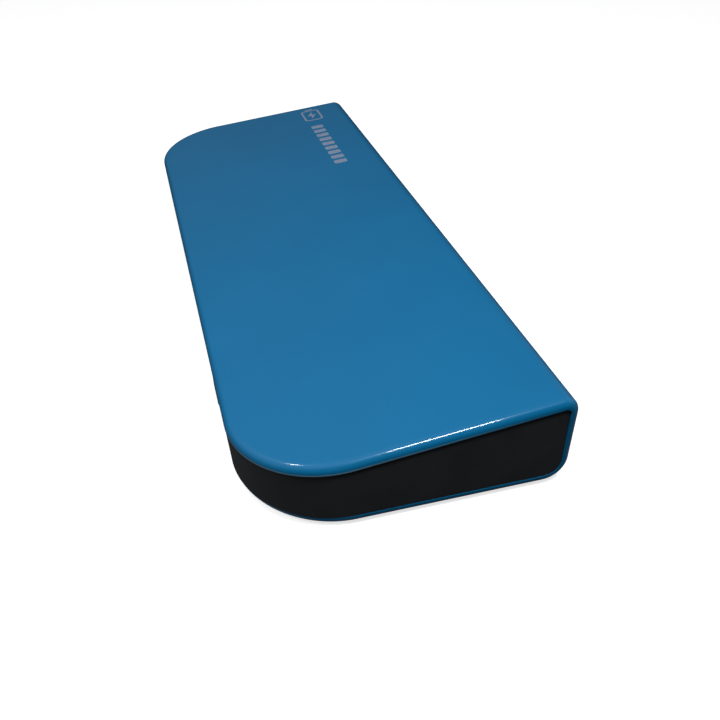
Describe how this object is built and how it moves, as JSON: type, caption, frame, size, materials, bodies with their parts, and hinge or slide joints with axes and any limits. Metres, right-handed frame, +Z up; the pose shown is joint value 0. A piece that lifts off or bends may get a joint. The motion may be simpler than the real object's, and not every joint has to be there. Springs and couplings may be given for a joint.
{
  "type": "power bank",
  "caption": "Wedge-shaped power bank: a C-shaped gloss shell over a dark side band with output and input ports, a sprung power button, charge lights and pouch cells inside.",
  "frame": {"origin": "middle of the case's outline, on the surface that the feet stand on", "axes": "+X from the thin side with the ports to the thick spine, +Y along the length, +Z up"},
  "size_m": [0.08, 0.214, 0.0259],
  "materials": {
    "shell_blue": "glossy moulded plastic",
    "band_black": "finely textured matt plastic",
    "button_black": "satin moulded plastic",
    "light_clear": "frosted light guide",
    "foot_rubber": "matt",
    "screw_steel": "zinc plated",
    "board_green": "solder mask over glass fibre",
    "switch_black": "moulded",
    "plunger_ivory": "moulded",
    "contact_gold": "plated",
    "led_white": "clear resin over a white body",
    "chip_black": "moulded resin",
    "inductor_grey": "pressed powder",
    "capacitor_can": "drawn can",
    "capacitor_tan": "fired ceramic",
    "port_steel": "nickel plated sheet",
    "insert_white": "moulded",
    "insert_black": "moulded",
    "tray_black": "moulded",
    "cell_foil": "laminated foil pouch",
    "tape_cream": "double-sided adhesive tape",
    "tab_nickel": "nickel strip",
    "foam_grey": "open-cell foam",
    "sensor_black": "epoxy bead",
    "wire_red": "silicone insulation",
    "wire_black": "silicone insulation"
  },
  "bodies": {
    "case": {"top_shell": "shell_blue", "bottom_cover": "shell_blue", "side_band": "band_black", "light_guide": "light_clear", "foot_1": "foot_rubber", "foot_2": "foot_rubber", "foot_3": "foot_rubber", "foot_4": "foot_rubber", "case_screws": "screw_steel", "main_board": "board_green", "board_screws": "screw_steel", "switch_housing": "switch_black", "switch_dome": "contact_gold", "status_leds": "led_white", "charge_chip": "chip_black", "control_chip": "chip_black", "power_inductor_1": "inductor_grey", "power_inductor_2": "inductor_grey", "power_transistors": "chip_black", "output_capacitors": "capacitor_can", "chip_capacitors": "capacitor_tan", "usb_a_shield_1": "port_steel", "usb_a_insert_1": "insert_white", "usb_a_contacts_1": "contact_gold", "usb_a_shield_2": "port_steel", "usb_a_insert_2": "insert_white", "usb_a_contacts_2": "contact_gold", "usb_c_shield": "port_steel", "usb_c_insert": "insert_black", "micro_usb_shield": "port_steel", "micro_usb_insert": "insert_black", "battery_tray": "tray_black", "cell_1": "cell_foil", "cell_2": "cell_foil", "cell_3": "cell_foil", "cell_4": "cell_foil", "cell_tapes": "tape_cream", "cell_tabs": "tab_nickel", "foam_pad_1": "foam_grey", "foam_pad_2": "foam_grey", "protection_board": "board_green", "temperature_sensor": "sensor_black", "battery_lead_positive": "wire_red", "battery_lead_negative": "wire_black"},
    "button": {"power_button": "button_black"},
    "plunger": {"switch_plunger": "plunger_ivory"}
  },
  "joints": [
    {"name": "button_press", "type": "slide", "parent": "case", "child": "button", "axis": [1, 0, 0], "range_m": [0, 0.0005], "stiffness_N_per_m": 3000, "springref_m": -0.0002},
    {"name": "plunger_slide", "type": "slide", "parent": "case", "child": "plunger", "axis": [1, 0, 0], "range_m": [0, 0.0005], "deforming": ["switch_dome"]}
  ],
  "couplings": [
    {"joint": "plunger_slide", "follows": "button_press", "ratio": 1}
  ]
}
